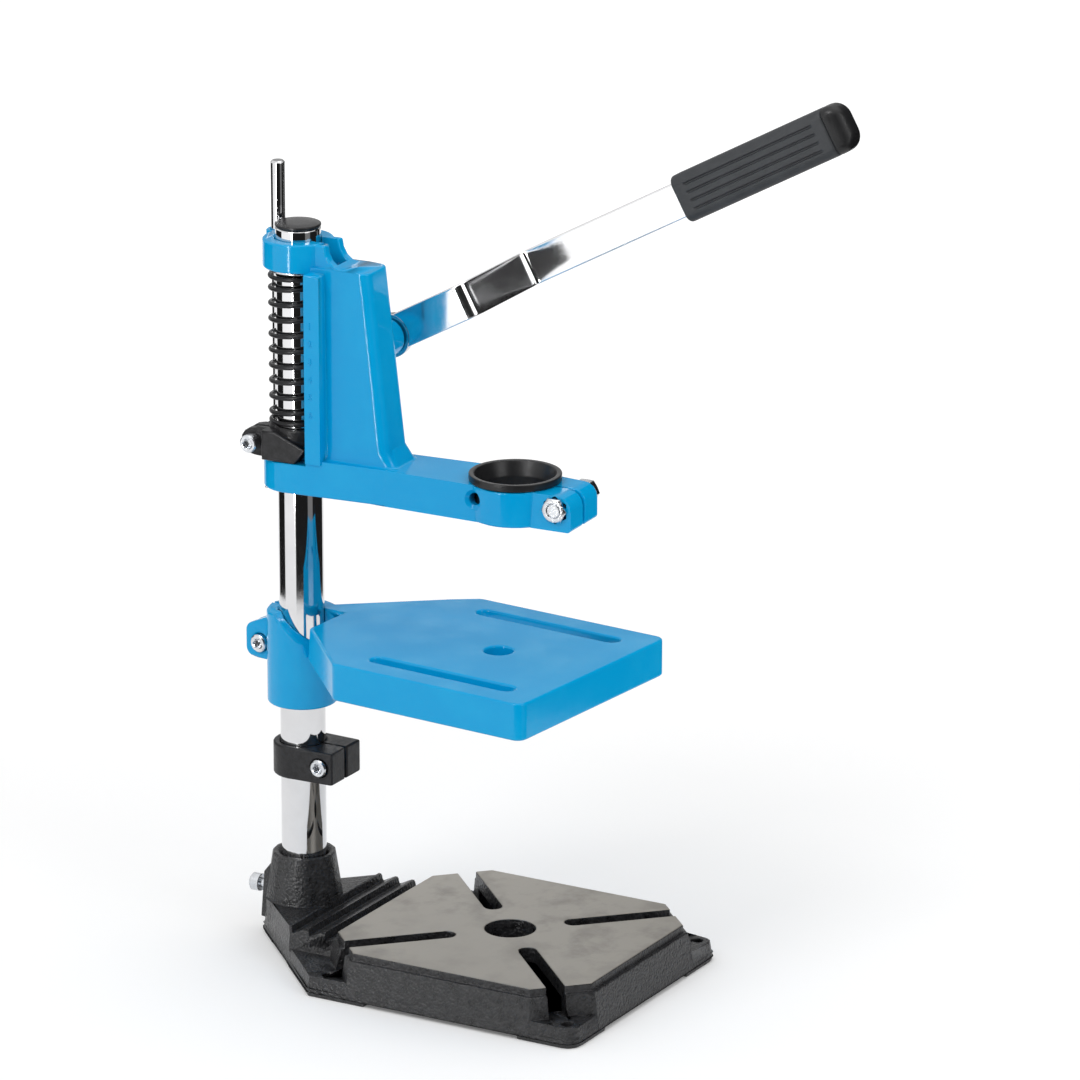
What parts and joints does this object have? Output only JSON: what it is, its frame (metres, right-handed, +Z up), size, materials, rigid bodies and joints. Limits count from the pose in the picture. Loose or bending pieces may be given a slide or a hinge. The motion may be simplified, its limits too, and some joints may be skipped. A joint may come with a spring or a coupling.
{
  "type": "drill stand",
  "caption": "Bench drill stand: cast base, column, swivelling slotted table and a sprung arm with a tool ring, fed down by a rack, pinion and hand lever.",
  "frame": {"origin": "underside of the base's rear foot, on the column's axis", "axes": "+Z up along the column; -Y to the front, where the base, table and tool ring reach; +X to the side that the lever is on"},
  "size_m": [0.2079, 0.3141, 0.4837],
  "materials": {
    "hammered_black": "hammered black enamel",
    "blue_paint": "gloss",
    "chrome": "polished",
    "zinc": "zinc plated",
    "black_steel": "satin",
    "dark_steel": "oiled dark steel",
    "black_plastic": "satin",
    "grip_plastic": "matt"
  },
  "bodies": {
    "base": {"base_casting": "hammered_black", "column": "chrome", "column_cap": "black_plastic", "base_clamp_screw": "zinc"},
    "collar": {"stop_collar": "black_steel", "stop_collar_screw": "zinc", "stop_collar_nut": "zinc"},
    "table": {"table": "blue_paint", "table_clamp_screw": "zinc", "table_clamp_nut": "zinc"},
    "bracket": {"column_bracket": "black_steel", "bracket_bolt": "zinc", "feed_rack": "dark_steel", "rack_screw": "zinc", "return_spring": "dark_steel"},
    "head": {"head_casting": "blue_paint", "adapter_ring": "black_plastic", "head_clamp_bolt": "zinc", "head_clamp_nut": "zinc", "guide_rod": "chrome", "split_pin": "zinc", "spring_washer": "zinc"},
    "lever": {"pinion": "dark_steel", "pinion_shaft": "chrome", "lever_washer": "chrome", "lever_nut": "chrome", "lever_bar": "chrome", "lever_grip": "grip_plastic", "lever_grip_end": "black_plastic"}
  },
  "joints": [
    {"name": "collar_height", "type": "slide", "parent": "base", "child": "collar", "axis": [0, 0, 1], "range_m": [-0.045, 0]},
    {"name": "table_swivel", "type": "hinge", "parent": "collar", "child": "table", "pos_m": [0, 0, 0.16], "axis": [0, 0, 1], "range_deg": [-90, 90]},
    {"name": "head_swivel", "type": "hinge", "parent": "base", "child": "bracket", "pos_m": [0, 0, 0.2877], "axis": [0, 0, 1], "range_deg": [-45, 45]},
    {"name": "head_feed", "type": "slide", "parent": "bracket", "child": "head", "axis": [0, 0, 1], "range_m": [-0.06, 0], "stiffness_N_per_m": 1800, "springref_m": 0.045, "deforming": ["return_spring"]},
    {"name": "lever_turn", "type": "hinge", "parent": "head", "child": "lever", "pos_m": [0.00185, -0.03745, 0.3425], "axis": [0.9988, 0.0494, 0], "range_deg": [0, 269.65]}
  ],
  "couplings": [
    {"joint": "lever_turn", "follows": "head_feed", "rad_per_m": -78.431}
  ]
}
